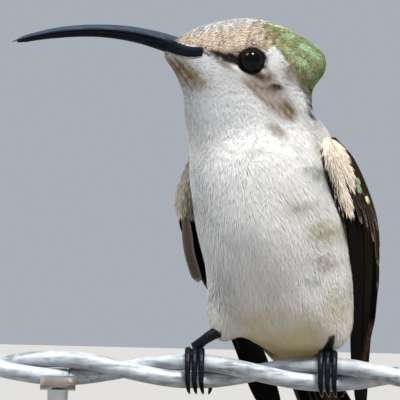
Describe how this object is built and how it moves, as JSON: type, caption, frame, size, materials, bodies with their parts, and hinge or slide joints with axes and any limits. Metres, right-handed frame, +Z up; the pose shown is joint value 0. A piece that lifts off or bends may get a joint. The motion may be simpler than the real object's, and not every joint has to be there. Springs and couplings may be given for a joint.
{
  "type": "hummingbird model",
  "caption": "Life-size still model of a white-breasted hummingbird with a long curved bill, gripping a short length of twisted fence wire on a plain display stand.",
  "frame": {"origin": "on the floor, at the middle of the underside of the stand's base", "axes": "+Z up, X along the perch wire, -Y towards the side that the breast faces; the bill points towards -X"},
  "size_m": [0.076, 0.052, 0.0801],
  "materials": {
    "breast_plumage": "soft white feathers",
    "crown_plumage": "brown feathers, glossy green at the nape",
    "covert_plumage": "brown feathers with pale edges and green glints",
    "flight_plumage": "blackish satin feathers",
    "thigh_plumage": "loose white down",
    "bill_horn": "satin blue-black horn",
    "eye": "wet gloss",
    "leg_skin": "satin scaly skin",
    "claw_horn": "gloss",
    "galvanised_wire": "dull galvanised",
    "stand_wood": "dark satin varnish",
    "stand_steel": "satin"
  },
  "bodies": {
    "root": {"trunk": "breast_plumage", "neck": "breast_plumage", "head": "crown_plumage", "eye_left": "eye", "eye_right": "eye", "bill_upper": "bill_horn", "bill_lower": "bill_horn", "wing_left_coverts": "covert_plumage", "wing_left_flight": "flight_plumage", "wing_right_coverts": "covert_plumage", "wing_right_flight": "flight_plumage", "tail": "flight_plumage", "thigh_left": "thigh_plumage", "thigh_right": "thigh_plumage", "tarsus_left": "leg_skin", "tarsus_right": "leg_skin", "toe_left_1": "leg_skin", "claw_left_1": "claw_horn", "toe_left_2": "leg_skin", "claw_left_2": "claw_horn", "toe_left_3": "leg_skin", "claw_left_3": "claw_horn", "toe_left_4": "leg_skin", "claw_left_4": "claw_horn", "toe_right_1": "leg_skin", "claw_right_1": "claw_horn", "toe_right_2": "leg_skin", "claw_right_2": "claw_horn", "toe_right_3": "leg_skin", "claw_right_3": "claw_horn", "toe_right_4": "leg_skin", "claw_right_4": "claw_horn", "perch_strand_a": "galvanised_wire", "perch_strand_b": "galvanised_wire", "stand_base": "stand_wood", "stand_rod_left": "stand_steel", "stand_rod_right": "stand_steel"}
  },
  "joints": []
}
